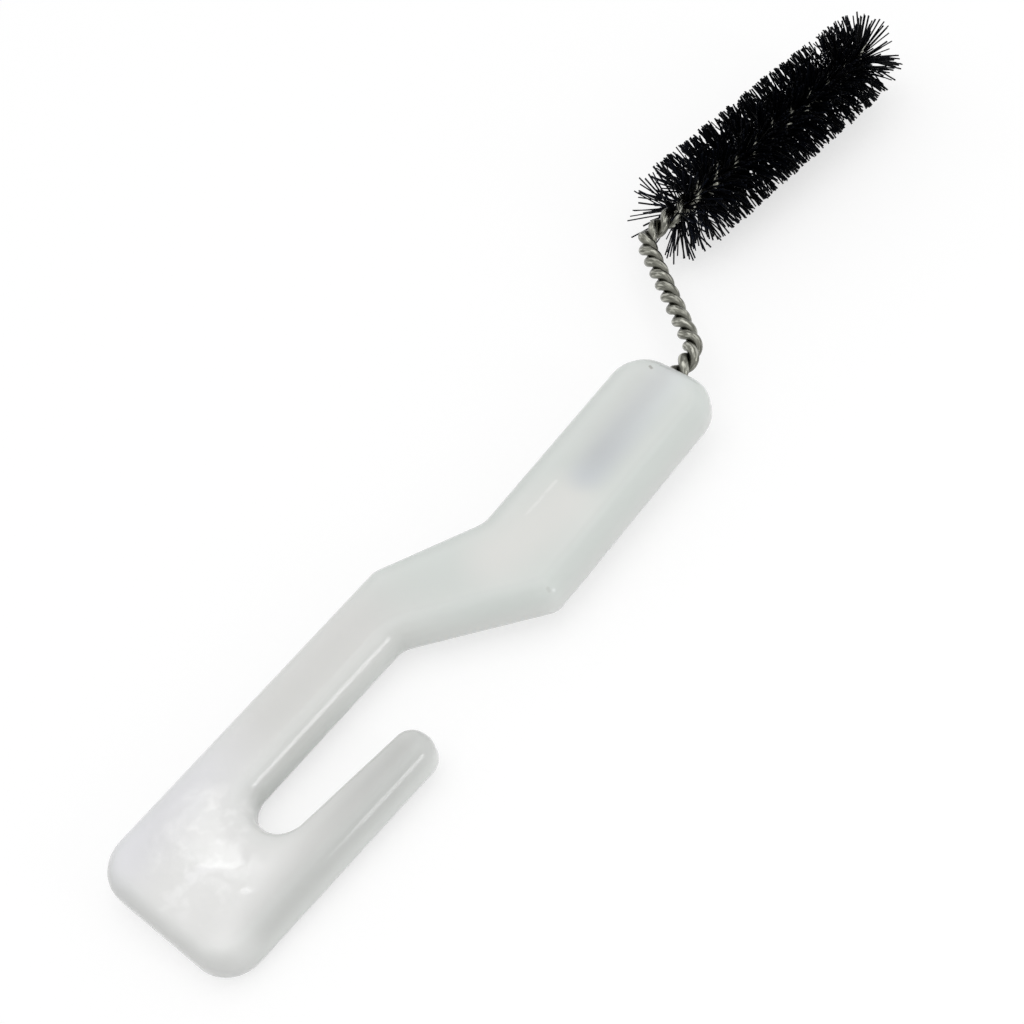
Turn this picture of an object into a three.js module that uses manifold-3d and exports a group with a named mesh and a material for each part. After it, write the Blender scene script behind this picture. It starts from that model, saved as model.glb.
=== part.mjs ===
// Awning rail cleaning brush.
// A flat, cranked plastic handle with a hook at one end holds a stem of two steel strands that
// are twisted together. The stem is bent into a crank in the plane of the handle, and beyond
// the crank the same twist clamps the filaments of a round brush.
// Units are millimetres. The origin is on the flat back of the handle, half way along it and on
// the centre line of its shaft. X runs from the hook to the brush, and Z points up from the back.
import * as THREE from "three";
import { mergeVertices } from "three/addons/utils/BufferGeometryUtils.js";
import Module from "manifold-3d";

const DEGREE = Math.PI / 180;

// Handle: a straight shaft, a sideways jog and a wider grip
const HANDLE_LENGTH = 119.2;
const HANDLE_THICKNESS = 7.5;
const EDGE_ROUND = 3;
const SHAFT_WIDTH = 11.8;
const GRIP_WIDTH = 18.7;
const GRIP_OFFSET = 10.7;
const GRIP_ANGLE = 2.5 * DEGREE;
const GRIP_CORNER = 6.2;
const JOG_LEFT_START = 2.6;
const JOG_LEFT_END = 19.1;
const JOG_RIGHT_START = -4.3;
const JOG_RIGHT_END = 14.3;
const JOG_ROUND = 3.6;

// Hook: a finger beside the shaft, with a slot between them that opens towards the grip
const HEEL_LENGTH = 20.3;
const HEEL_CORNER = 6.2;
const SLOT_WIDTH = 9.1;
const SLOT_FLARE = 6 * DEGREE;
const FINGER_WIDTH = 8.8;
const FINGER_LENGTH = 25.2;
const FINGER_FLARE = 1.1 * DEGREE;

// Most of a width that the rounding of its end takes, and most of that that an edge's takes
const END_ROUND_SHARE = 0.48;
const EDGE_ROUND_SHARE = 0.9;

// Twisted wire: two strands, set in the grip and bent twice
const STRAND_DIAMETER = 1.6;
const PIECE_GAP = 0.3;
const WIRE_OFFSET = 9.95;
const WIRE_ANGLE = 3 * DEGREE;
const EMBEDDED_LENGTH = 22;
const STUB_LENGTH = 5.75;
const STEM_LENGTH = 28.4;
const STEM_ANGLE = 56 * DEGREE;
const BRUSH_ANGLE = -7 * DEGREE;
const LOWER_BEND_RADIUS = 5;
const UPPER_BEND_RADIUS = 3.2;
const BARE_LENGTH = 7.1;
const BARE_TIP_LENGTH = 1.5;
const TWIST_START = 85 * DEGREE;
const BARE_PITCH = 6.1;
const BRUSH_PITCH = 9.5;
const SPREAD_LENGTH = 3;

// Round brush: filaments clamped across the twist, splayed at both ends
const BRUSH_LENGTH = 49;
const BRUSH_RADIUS_AT_BASE = 9;
const BRUSH_RADIUS_AT_TIP = 8.2;
const SPLAY_ANGLE = 24 * DEGREE;
const SPLAY_LENGTH = 10;
const FILAMENT_THICKNESS = 0.2;
const BACKING_WIDTH = 1.6;
const BACKING_THICKNESS = 0.4;
const BRUSH_SECTIONS = 4;
const FILAMENT_ROWS = 46;

// Fineness of the facets
const ARC_STEPS = 4;
const ROUND_STEPS = 4;
const STRAND_SIDES = 6;
const STRAND_STEPS = 180;
const BORE_SIDES = 20;
const MERGE_DISTANCE = 1e-4;

const wasm = await Module();
wasm.setup();

const UP = new THREE.Vector3(0, 0, 1);
const handleEnd = HANDLE_LENGTH / 2;
const slotEnd = -handleEnd + HEEL_LENGTH;
const fingerTip = slotEnd + FINGER_LENGTH;

// A closed solid for cutting and joining, from a geometry whose faces share their corners.
function asSolid(geometry) {
  const bare = new THREE.BufferGeometry();
  bare.setAttribute("position", geometry.getAttribute("position"));
  bare.setIndex(geometry.index);
  const merged = mergeVertices(bare, MERGE_DISTANCE);
  return new wasm.Manifold(
    new wasm.Mesh({
      numProp: 3,
      vertProperties: merged.getAttribute("position").array,
      triVerts: new Uint32Array(merged.index.array),
    }),
  );
}

function asGeometry(solid) {
  const { vertProperties, triVerts } = solid.getMesh();
  const geometry = new THREE.BufferGeometry();
  geometry.setAttribute("position", new THREE.BufferAttribute(vertProperties, 3));
  geometry.setIndex(new THREE.BufferAttribute(triVerts, 1));
  return geometry;
}

function named(name, geometry, material) {
  const mesh = new THREE.Mesh(geometry, material);
  mesh.name = name;
  return mesh;
}

// Handle

function corner(x, y, round) {
  return { at: new THREE.Vector2(x, y), round };
}

// A closed outline through the corners, with each corner rounded by its own arc.
function roundedShape(corners) {
  const shape = new THREE.Shape();
  corners.forEach(({ at, round }, i) => {
    const before = corners.at(i - 1).at;
    const after = corners[(i + 1) % corners.length].at;
    const back = before.clone().sub(at).normalize();
    const ahead = after.clone().sub(at).normalize();
    const half = back.angleTo(ahead) / 2;
    const inward = back.clone().add(ahead).normalize();
    const centre = at.clone().addScaledVector(inward, round / Math.sin(half));
    const start = at.clone().addScaledVector(back, round / Math.tan(half)).sub(centre);
    const end = at.clone().addScaledVector(ahead, round / Math.tan(half)).sub(centre);
    const clockwise = back.cross(ahead) > 0;
    shape.absarc(centre.x, centre.y, round, start.angle(), end.angle(), clockwise);
  });
  shape.closePath();
  return shape;
}

// Height of the grip's centre line, which leans a little to the shaft.
function gripCentre(x) {
  return -GRIP_OFFSET + Math.tan(GRIP_ANGLE) * (x - handleEnd);
}

function fingerInside(x) {
  return -SHAFT_WIDTH / 2 - SLOT_WIDTH - Math.tan(SLOT_FLARE) * (x - slotEnd);
}

function fingerOutside(x) {
  const atSlotEnd = -SHAFT_WIDTH / 2 - SLOT_WIDTH - FINGER_WIDTH;
  return atSlotEnd - Math.tan(FINGER_FLARE) * (x - slotEnd);
}

function handleOutline(fingerRound) {
  const side = SHAFT_WIDTH / 2;
  const gripSide = GRIP_WIDTH / 2 / Math.cos(GRIP_ANGLE);
  const slotRound = END_ROUND_SHARE * SLOT_WIDTH;
  return roundedShape([
    corner(-handleEnd, fingerOutside(-handleEnd), HEEL_CORNER),
    corner(fingerTip, fingerOutside(fingerTip), fingerRound),
    corner(fingerTip, fingerInside(fingerTip), fingerRound),
    corner(slotEnd, fingerInside(slotEnd), slotRound),
    corner(slotEnd, -side, slotRound),
    corner(JOG_RIGHT_START, -side, JOG_ROUND),
    corner(JOG_RIGHT_END, gripCentre(JOG_RIGHT_END) - gripSide, JOG_ROUND),
    corner(handleEnd, gripCentre(handleEnd) - gripSide, GRIP_CORNER),
    corner(handleEnd, gripCentre(handleEnd) + gripSide, GRIP_CORNER),
    corner(JOG_LEFT_END, gripCentre(JOG_LEFT_END) + gripSide, JOG_ROUND),
    corner(JOG_LEFT_START, side, JOG_ROUND),
    corner(-handleEnd, side, HEEL_CORNER),
  ]);
}

// The blind hole that the twisted wire is set in, open at the end of the grip. It is deeper than
// the wire by the slant of the strands' cut ends.
function wireBore() {
  const radius = STRAND_DIAMETER + PIECE_GAP / 2 + PIECE_GAP;
  const depth = EMBEDDED_LENGTH + STRAND_DIAMETER / 2 + PIECE_GAP;
  const bore = new THREE.CylinderGeometry(radius, radius, 2 * depth, BORE_SIDES);
  bore.rotateZ(Math.PI / 2 + WIRE_ANGLE);
  bore.translate(handleEnd, -WIRE_OFFSET, HANDLE_THICKNESS / 2);
  return bore;
}

function makeHandle() {
  const tipWidth = fingerInside(fingerTip) - fingerOutside(fingerTip);
  const fingerRound = END_ROUND_SHARE * tipWidth;
  const edgeRound = Math.min(EDGE_ROUND, EDGE_ROUND_SHARE * fingerRound);
  const body = new THREE.ExtrudeGeometry(handleOutline(fingerRound), {
    depth: HANDLE_THICKNESS - 2 * edgeRound,
    curveSegments: ARC_STEPS,
    bevelThickness: edgeRound,
    bevelSize: edgeRound,
    bevelOffset: -edgeRound,
    bevelSegments: ROUND_STEPS,
  });
  body.translate(0, 0, edgeRound);
  const solid = asSolid(body).subtract(asSolid(wireBore()));
  const plastic = new THREE.MeshStandardMaterial({ color: 0xe4e6e6, roughness: 0.35, metalness: 0 });
  return named("handle", asGeometry(solid), plastic);
}

// Twisted wire

// The middle of the twist: straight stretches and bends, each with its length and curvature.
const lowerTurn = STEM_ANGLE - WIRE_ANGLE;
const upperTurn = STEM_ANGLE - BRUSH_ANGLE;
const lowerCut = LOWER_BEND_RADIUS * Math.tan(lowerTurn / 2);
const upperCut = UPPER_BEND_RADIUS * Math.tan(upperTurn / 2);
const wireRoute = [
  { length: EMBEDDED_LENGTH + STUB_LENGTH - lowerCut, curvature: 0 },
  { length: LOWER_BEND_RADIUS * lowerTurn, curvature: 1 / LOWER_BEND_RADIUS },
  { length: STEM_LENGTH - lowerCut - upperCut, curvature: 0 },
  { length: UPPER_BEND_RADIUS * upperTurn, curvature: -1 / UPPER_BEND_RADIUS },
  { length: BARE_LENGTH - upperCut + BRUSH_LENGTH + BARE_TIP_LENGTH, curvature: 0 },
];
const wireLength = wireRoute.reduce((total, stretch) => total + stretch.length, 0);
const brushEnd = wireLength - BARE_TIP_LENGTH;
const brushStart = brushEnd - BRUSH_LENGTH;

// The point at a distance along the route, with its direction and the direction to its left.
function placeOnRoute(distance) {
  const point = new THREE.Vector3(
    handleEnd - EMBEDDED_LENGTH * Math.cos(WIRE_ANGLE),
    -WIRE_OFFSET - EMBEDDED_LENGTH * Math.sin(WIRE_ANGLE),
    HANDLE_THICKNESS / 2,
  );
  let heading = WIRE_ANGLE;
  let left = distance;
  for (const { length, curvature } of wireRoute) {
    const run = Math.min(left, length);
    const turn = run * curvature;
    const chord = curvature === 0 ? run : (2 * Math.sin(turn / 2)) / curvature;
    point.x += chord * Math.cos(heading + turn / 2);
    point.y += chord * Math.sin(heading + turn / 2);
    heading += turn;
    left -= run;
  }
  const along = new THREE.Vector3(Math.cos(heading), Math.sin(heading), 0);
  return { point, along, side: UP.clone().cross(along) };
}

// The twist is left-handed, tight on the bare wire and slower where it holds the filaments.
function twistAngle(distance) {
  const bare = Math.min(distance, brushStart);
  const bristled = Math.max(distance - brushStart, 0);
  return TWIST_START - 2 * Math.PI * (bare / BARE_PITCH + bristled / BRUSH_PITCH);
}

// Distance of a strand's centre from the middle of the twist.
function twistRadius(distance) {
  const bare = (STRAND_DIAMETER + PIECE_GAP) / 2;
  const parted = STRAND_DIAMETER / 2 + PIECE_GAP + BACKING_THICKNESS / 2;
  const spread = THREE.MathUtils.smoothstep(distance, brushStart - SPREAD_LENGTH, brushStart);
  return THREE.MathUtils.lerp(bare, parted, spread);
}

// The direction across the twist at an angle round it, from the left of the route.
function across(place, angle) {
  const left = place.side.clone().multiplyScalar(Math.cos(angle));
  return left.addScaledVector(UP, Math.sin(angle));
}

class StrandPath extends THREE.Curve {
  constructor(phase) {
    super();
    this.phase = phase;
    this.arcLengthDivisions = 4 * STRAND_STEPS;
  }

  getPoint(t, target = new THREE.Vector3()) {
    const distance = t * wireLength;
    const place = placeOnRoute(distance);
    const outward = across(place, twistAngle(distance) + this.phase);
    return target.copy(place.point).addScaledVector(outward, twistRadius(distance));
  }
}

function makeStrand(name, phase) {
  const section = new THREE.Shape();
  section.setFromPoints(
    Array.from({ length: STRAND_SIDES }, (_, i) => {
      const angle = (2 * Math.PI * i) / STRAND_SIDES;
      return new THREE.Vector2(Math.cos(angle), Math.sin(angle)).multiplyScalar(STRAND_DIAMETER / 2);
    }),
  );
  const strand = new THREE.ExtrudeGeometry(section, {
    steps: STRAND_STEPS,
    extrudePath: new StrandPath(phase),
  });
  const steel = new THREE.MeshStandardMaterial({ color: 0xa3a39b, roughness: 0.35, metalness: 1 });
  return named(name, strand, steel);
}

// Round brush

// Filaments near an end lean out past it, and those in the middle stand square to the wire.
function leanAt(distance) {
  const fromBase = THREE.MathUtils.smoothstep(distance, brushStart, brushStart + SPLAY_LENGTH);
  const fromTip = THREE.MathUtils.smoothstep(distance, brushEnd - SPLAY_LENGTH, brushEnd);
  return SPLAY_ANGLE * (fromBase - 1 + fromTip);
}

// The four corners of the pinched row of filaments at a distance along the twist. The row is a
// thin strip between the two strands, and its edges face across the twist.
function stripCorners(distance) {
  const place = placeOnRoute(distance);
  const angle = twistAngle(distance) + Math.PI / 2;
  const edge = across(place, angle).multiplyScalar(BACKING_WIDTH / 2);
  const face = across(place, angle + Math.PI / 2).multiplyScalar(BACKING_THICKNESS / 2);
  return [
    place.point.clone().add(edge).add(face),
    place.point.clone().add(edge).sub(face),
    place.point.clone().sub(edge).sub(face),
    place.point.clone().sub(edge).add(face),
  ];
}

// The four corners of a filament's tip, in the order of the four corners of its root. The end
// is 1 for a filament that leaves the first edge of the strip and -1 for the opposite one.
function tipCorners(distance, end) {
  const place = placeOnRoute(distance);
  const angle = twistAngle(distance) + Math.PI / 2;
  const lean = leanAt(distance);
  const share = (distance - brushStart) / BRUSH_LENGTH;
  const reach = THREE.MathUtils.lerp(BRUSH_RADIUS_AT_BASE, BRUSH_RADIUS_AT_TIP, share);
  const tip = place.point.clone();
  tip.addScaledVector(across(place, angle), end * reach * Math.cos(lean));
  tip.addScaledVector(place.along, reach * Math.sin(lean));
  const forward = place.along.clone().multiplyScalar(FILAMENT_THICKNESS / 2);
  const face = across(place, angle + Math.PI / 2).multiplyScalar((end * FILAMENT_THICKNESS) / 2);
  return [
    tip.clone().sub(forward).add(face),
    tip.clone().add(forward).add(face),
    tip.clone().add(forward).sub(face),
    tip.clone().sub(forward).sub(face),
  ];
}

// Gathers four-sided faces into one indexed surface.
class Surface {
  constructor() {
    this.positions = [];
    this.indices = [];
  }

  corners(points) {
    const first = this.positions.length / 3;
    points.forEach(({ x, y, z }) => this.positions.push(x, y, z));
    return points.map((_, i) => first + i);
  }

  face(a, b, c, d) {
    this.indices.push(a, b, c, a, c, d);
  }

  // A four-sided stalk that grows from the face with the corners of its root.
  stalk(root, tip) {
    root.forEach((corner, i) => {
      const next = (i + 1) % root.length;
      this.face(corner, root[next], tip[next], tip[i]);
    });
    this.face(...tip);
  }

  geometry() {
    const made = new THREE.BufferGeometry();
    made.setAttribute("position", new THREE.Float32BufferAttribute(this.positions, 3));
    made.setIndex(this.indices);
    return made;
  }
}

// A section of the brush: the strip, with a filament out of both its edges on every row.
function bristleGeometry(from, to) {
  const surface = new Surface();
  const pitch = (to - from) / FILAMENT_ROWS;
  let last = surface.corners(stripCorners(from));
  surface.face(...last);
  const stepTo = (distance, row) => {
    const next = surface.corners(stripCorners(distance));
    next.forEach((_, side) => {
      const beside = (side + 1) % next.length;
      const root = [last[side], next[side], next[beside], last[beside]];
      const onEdge = side % 2 === 0;
      if (row !== undefined && onEdge) {
        const end = side === 0 ? 1 : -1;
        surface.stalk(root, surface.corners(tipCorners(row, end)));
      } else {
        surface.face(...root);
      }
    });
    last = next;
  };
  for (let i = 0; i < FILAMENT_ROWS; i += 1) {
    const row = from + (i + 0.5) * pitch;
    stepTo(row - FILAMENT_THICKNESS / 2);
    stepTo(row + FILAMENT_THICKNESS / 2, row);
  }
  stepTo(to);
  surface.face(...last.toReversed());
  return surface.geometry();
}

function makeBristles(index) {
  const sectionLength = BRUSH_LENGTH / BRUSH_SECTIONS;
  const from = brushStart + index * sectionLength + PIECE_GAP / 2;
  const to = from + sectionLength - PIECE_GAP;
  const nylon = new THREE.MeshStandardMaterial({ color: 0x14151c, roughness: 0.5, metalness: 0 });
  return named(`bristles_${index + 1}`, bristleGeometry(from, to), nylon);
}

const brush = new THREE.Group();
brush.name = "awning_rail_brush";
brush.add(makeHandle());
brush.add(makeStrand("wire_strand_a", 0));
brush.add(makeStrand("wire_strand_b", Math.PI));
for (let index = 0; index < BRUSH_SECTIONS; index += 1) {
  brush.add(makeBristles(index));
}

export default brush;
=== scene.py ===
"""The finished look of an awning rail cleaning brush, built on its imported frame.

The handle is a milky plastic moulding with a hook. The stem and the core of the brush are two twisted
steel strands, and the filaments are clamped between the strands. Lengths are in metres in the frame of
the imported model: X runs from the hook to the brush, and Z points up from the flat back of the handle.
"""

import math

import bmesh
import bpy
import numpy as np
from bpy.props import FloatProperty, FloatVectorProperty, IntProperty, PointerProperty
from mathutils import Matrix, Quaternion, Vector, noise
from mathutils.geometry import delaunay_2d_cdt


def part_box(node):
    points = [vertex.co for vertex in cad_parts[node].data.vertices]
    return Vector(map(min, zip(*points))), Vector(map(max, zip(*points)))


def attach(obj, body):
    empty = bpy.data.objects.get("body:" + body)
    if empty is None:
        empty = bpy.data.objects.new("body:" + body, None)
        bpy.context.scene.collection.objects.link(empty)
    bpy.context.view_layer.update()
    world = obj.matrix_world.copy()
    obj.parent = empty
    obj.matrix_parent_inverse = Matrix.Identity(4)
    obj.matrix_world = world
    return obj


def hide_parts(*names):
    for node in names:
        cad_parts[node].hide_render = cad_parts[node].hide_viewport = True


bl_info = {
    "name": "Awning Rail Brush",
    "version": (1, 0, 0),
    "blender": (4, 5, 0),
    "location": "3D View > Sidebar > Rail Brush",
    "description": "Builds the handle, twisted wire and bristles of an awning rail brush",
    "category": "Add Mesh",
}

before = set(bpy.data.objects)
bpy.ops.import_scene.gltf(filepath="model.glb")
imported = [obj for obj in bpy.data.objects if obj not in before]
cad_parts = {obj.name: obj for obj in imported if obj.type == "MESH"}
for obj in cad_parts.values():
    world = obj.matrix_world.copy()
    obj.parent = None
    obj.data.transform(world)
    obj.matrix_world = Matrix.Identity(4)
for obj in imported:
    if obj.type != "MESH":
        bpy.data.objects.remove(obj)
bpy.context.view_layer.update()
HANDLE_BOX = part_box("handle")

MM = 0.001
UP = Vector((0.0, 0.0, 1.0))
BODY = "root"
SEED = 7


# Settings

def size(name, description, millimetres):
    """A length that a user can change."""
    return FloatProperty(
        name=name, description=description, default=millimetres * MM, precision=5, unit="LENGTH"
    )


def turn(name, description, degrees):
    """An angle that a user can change."""
    return FloatProperty(
        name=name, description=description, default=math.radians(degrees), subtype="ANGLE"
    )


def tint(name, description, colour):
    """A colour that a user can change."""
    return FloatVectorProperty(
        name=name, description=description, default=colour, min=0.0, max=1.0, subtype="COLOR"
    )


def share(name, description, value):
    """A share from 0 to 1 that a user can change."""
    return FloatProperty(
        name=name, description=description, default=value, min=0.0, max=1.0, subtype="FACTOR"
    )


class HandleSettings(bpy.types.PropertyGroup):
    """Sizes and colours of the moulded handle."""

    length: size("Length", "From the heel to the end of the grip", (HANDLE_BOX[1].x - HANDLE_BOX[0].x) / MM)
    thickness: size("Thickness", "From the back to the face", (HANDLE_BOX[1].z - HANDLE_BOX[0].z) / MM)
    edge_round: size("Edge round", "Radius of the long edges", 3)
    shaft_width: size("Shaft width", "Width of the straight shaft", 11.8)
    grip_width: size("Grip width", "Width of the grip", 18.7)
    grip_offset: size("Grip offset", "How far the grip's end lies beside the shaft", 10.7)
    grip_angle: turn("Grip angle", "Lean of the grip towards the shaft's line", 2.5)
    grip_corner: size("Grip corner", "Radius of the corners at the grip's end", 6.2)
    jog_left_start: size("Left jog start", "Where the left side leaves the shaft", 2.6)
    jog_left_end: size("Left jog end", "Where the left side meets the grip", 19.1)
    jog_right_start: size("Right jog start", "Where the right side leaves the shaft", -4.3)
    jog_right_end: size("Right jog end", "Where the right side meets the grip", 14.3)
    jog_round: size("Jog round", "Radius of the corners of the jog", 3.6)
    heel_length: size("Heel length", "From the heel to the end of the slot", 20.3)
    heel_corner: size("Heel corner", "Radius of the corners of the heel", 6.2)
    slot_width: size("Slot width", "Width of the slot at its closed end", 9.1)
    slot_flare: turn("Slot flare", "Angle by which the slot opens", 6)
    finger_width: size("Finger width", "Width of the finger at the slot's end", 8.8)
    finger_length: size("Finger length", "Length of the finger beside the slot", 25.2)
    finger_flare: turn("Finger flare", "Lean of the finger's outer side", 1.1)
    crown: size("Crown", "How much the middle of the face stands above its edges", 0.12)
    wave: size("Wave", "Depth of the slow waves in the face", 0.03)
    ripple: size("Ripple", "Depth of the fine ripples in the thick heel", 0.055)
    colour: tint("Colour", "Plastic of the shaft", (0.735, 0.735, 0.72))
    # Partly the thick heel's own paler tone and partly a painted sheen, where a lamp's broad reflection
    # would lie.
    heel_tone_and_sheen_colour: tint("Heel colour", "Plastic of the thick heel", (0.835, 0.835, 0.825))
    cool_colour: tint("Cool colour", "Plastic along the left side of the heel", (0.805, 0.805, 0.835))
    # White of the heel's flow marks and painted highlight patches, and of the painted highlight streak on
    # the grip.
    cloud_and_glint_colour: tint("Cloud colour", "Whiter flow marks in the heel", (0.95, 0.95, 0.94))
    # Painted shade: grey painted over the finger and along the heel's end, where less light falls.
    finger_shade_colour: tint("Finger colour", "Plastic of the finger and below it", (0.555, 0.56, 0.548))
    grip_colour: tint("Grip colour", "Plastic of the jog and the grip", (0.725, 0.76, 0.735))
    warm_colour: tint("Warm colour", "Plastic where the grip begins", (0.82, 0.825, 0.80))
    # Painted shade on the rounded edges, where less light falls.
    fillet_shade_colour: tint("Side colour", "Plastic along the sides", (0.56, 0.595, 0.57))
    # Painted light: the lower walls are painted paler than the shade above them, as light from the floor
    # through the plastic makes them.
    lower_wall_light_colour: tint("Rim colour", "Plastic along the lower edges", (0.70, 0.715, 0.695))
    # Painted shadow of the wire in the grip: dark at its inner end, and painted paler than the plastic
    # around it where the wire comes out.
    shadow_colour: tint("Shadow colour", "Plastic over the inner end of the wire", (0.585, 0.62, 0.68))
    lit_mouth_colour: tint("Mouth colour", "Plastic over the wire where it leaves the grip", (0.82, 0.87, 0.89))


class WireSettings(bpy.types.PropertyGroup):
    """Sizes and colours of the twisted wire."""

    strand: size("Strand", "Diameter of one strand", 1.7)
    offset: size("Offset", "How far the wire leaves the grip beside the shaft's line", 9.95)
    angle: turn("Angle", "Lean of the stretch that is set in the grip", 3)
    embedded: size("Embedded", "Length of wire inside the grip", 22)
    stub: size("Stub", "From the grip to the lower corner of the crank", 5.75)
    stem: size("Stem", "From the lower to the upper corner of the crank", 28.4)
    stem_angle: turn("Stem angle", "Angle of the stem in the handle's plane", 56)
    brush_angle: turn("Brush angle", "Angle of the brush in the handle's plane", -7)
    lower_bend: size("Lower bend", "Radius of the bend at the grip", 5)
    upper_bend: size("Upper bend", "Radius of the bend at the brush", 3.2)
    bare: size("Bare", "From the upper corner to the first filaments", 7.1)
    bare_tip: size("Bare tip", "Wire past the last filaments", 1.5)
    twist_start: turn("Twist start", "Angle of the first strand at its inner end", 85)
    bare_pitch: size("Bare pitch", "Length of one turn of the bare twist", 6.1)
    brush_pitch: size("Brush pitch", "Length of one turn where the twist holds filaments", 9.5)
    parting: size("Parting", "Room for filaments between the two strands", 0.3)
    spread: size("Spread", "Length over which the strands part", 3)
    colour: tint("Colour", "Steel on the flanks of a strand", (0.21, 0.21, 0.18))
    # Partly polish and partly painted sheen on the ridges of the strands.
    polish_and_sheen_colour: tint("Bright colour", "Polished steel on the ridges", (0.44, 0.44, 0.39))
    dull_colour: tint("Dull colour", "Tarnished steel", (0.11, 0.11, 0.096))
    # Partly grime and partly painted shade between the strands.
    groove_grime_and_shade_colour: tint("Groove colour", "Dark steel between the strands", (0.14, 0.14, 0.12))


class BristleSettings(bpy.types.PropertyGroup):
    """Sizes and colours of the filaments."""

    length: size("Length", "Length of the brush along the wire", 49)
    radius_at_base: size("Radius at base", "Reach of the filaments next to the stem", 9)
    radius_at_tip: size("Radius at tip", "Reach of the filaments at the far end", 8.2)
    splay: turn("Splay", "Lean of the filaments at both ends", 24)
    splay_length: size("Splay length", "Length over which the lean fades", 10)
    filament: size("Filament", "Thickness of a filament", 0.3)
    sections: IntProperty(name="Sections", description="Lengths that the brush is split in", default=4)
    ends: IntProperty(name="Ends", description="Filament ends in each section", default=570)
    colour: tint("Colour", "Nylon in the shade", (0.0003, 0.0003, 0.0006))
    tip_colour: tint("Tip colour", "Nylon of the paler filaments", (0.0055, 0.0075, 0.0145))


class StageSettings(bpy.types.PropertyGroup):
    """Floor, lamps and camera."""

    azimuth: turn("Azimuth", "Side that the camera looks from", -33.0)
    elevation: turn("Elevation", "Height of the camera above the horizon", 51.2)
    roll: turn("Roll", "Tilt of the picture", -20.5)
    distance: size("Distance", "From the camera to what it looks at", 297.6)
    target_x: size("Target X", "Along the handle, what the camera looks at", 24.025)
    target_y: size("Target Y", "Across the handle, what the camera looks at", -4.445)
    target_z: size("Target Z", "Above the back, what the camera looks at", 3.75)
    lens: FloatProperty(name="Lens", description="Focal length", default=66.2, subtype="DISTANCE_CAMERA")
    floor_colour: tint("Floor colour", "Pale floor, as it lights the object", (0.85, 0.85, 0.85))
    seen_colour: tint("Seen colour", "Pale floor, as it takes the shadow", (0.4, 0.4, 0.4))
    floor_glow: share("Floor glow", "White that the floor adds where it is seen", 0.65)
    ambient: share("Ambient", "Light from all round", 0.7)


# Nodes

FLOAT = "NodeSocketFloat"
WHOLE = "NodeSocketInt"
POINT = "NodeSocketVector"
GEOMETRY = "NodeSocketGeometry"


class Nodes:
    """Adds nodes to a tree. An input is a plain value, or another node's output, which is linked."""

    def __init__(self, tree):
        self.tree = tree

    def node(self, kind, inputs=None, **settings):
        made = self.tree.nodes.new(kind)
        for name, value in settings.items():
            setattr(made, name, value)
        for key, value in (inputs or {}).items():
            self.put(made.inputs[key], value)
        return made

    def put(self, socket, value):
        if isinstance(value, bpy.types.NodeSocket):
            self.tree.links.new(value, socket)
        else:
            socket.default_value = value

    def math(self, operation, a, b=0.0):
        return self.node("ShaderNodeMath", {0: a, 1: b}, operation=operation).outputs[0]

    def plus(self, a, b):
        return self.math("ADD", a, b)

    def minus(self, a, b):
        return self.math("SUBTRACT", a, b)

    def times(self, a, b):
        return self.math("MULTIPLY", a, b)

    def over(self, a, b):
        return self.math("DIVIDE", a, b)

    def vector(self, operation, a, b=(0.0, 0.0, 0.0)):
        made = self.node("ShaderNodeVectorMath", {0: a, 1: b}, operation=operation)
        return made.outputs["Value" if operation in ("DOT_PRODUCT", "LENGTH") else "Vector"]

    def scaled(self, vector, factor):
        made = self.node("ShaderNodeVectorMath", {0: vector, "Scale": factor}, operation="SCALE")
        return made.outputs["Vector"]

    def turned(self, a, b, angle):
        """The direction at an angle from a towards b, which are square to each other."""
        across = self.scaled(a, self.math("COSINE", angle))
        along = self.scaled(b, self.math("SINE", angle))
        return self.vector("ADD", across, along)

    def ramp(self, value, low, high, at_low=0.0, at_high=1.0):
        """A smooth step from one value to another as the input goes from low to high."""
        inputs = {"Value": value, "From Min": low, "From Max": high, "To Min": at_low, "To Max": at_high}
        return self.node("ShaderNodeMapRange", inputs, interpolation_type="SMOOTHSTEP").outputs[0]

    def blend(self, factor, a, b):
        """A colour between a and b."""
        return self.node("ShaderNodeMix", {0: factor, 6: a, 7: b}, data_type="RGBA").outputs[2]

    def layered(self, colour, layers):
        """A colour with others laid over it in turn, each through its own mask."""
        for mask, layer in layers:
            colour = self.blend(mask, colour, layer)
        return colour

    def joined(self, x, y, z):
        return self.node("ShaderNodeCombineXYZ", {0: x, 1: y, 2: z}).outputs[0]

    def attribute(self, name, output="Fac"):
        """What a mesh keeps for its material under a name."""
        return self.node("ShaderNodeAttribute", attribute_name=name).outputs[output]

    def noise(self, vector, scale, detail):
        inputs = {"Vector": vector, "Scale": scale, "Detail": detail}
        return self.node("ShaderNodeTexNoise", inputs).outputs[0]

    def random(self, low, high, seed):
        """A number of its own for each element, between low and high."""
        inputs = {2: low, 3: high, "Seed": seed}
        return self.node("FunctionNodeRandomValue", inputs, data_type="FLOAT").outputs[1]


def new_tree(name, kind, inputs, outputs):
    """A node tree with named sockets of each type, its nodes, what it is given and its result."""
    tree = bpy.data.node_groups.new(name, kind)
    for in_out, sockets in (("INPUT", inputs), ("OUTPUT", outputs)):
        for socket_type, labels in sockets.items():
            for label in labels:
                tree.interface.new_socket(label, in_out=in_out, socket_type=socket_type)
    nodes = Nodes(tree)
    given = nodes.node("NodeGroupInput").outputs
    result = nodes.node("NodeGroupOutput").inputs
    return tree, nodes, given, result


def new_object(name, data):
    """An object in the scene, at the origin."""
    made = bpy.data.objects.new(name, data)
    bpy.context.scene.collection.objects.link(made)
    return made


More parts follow.
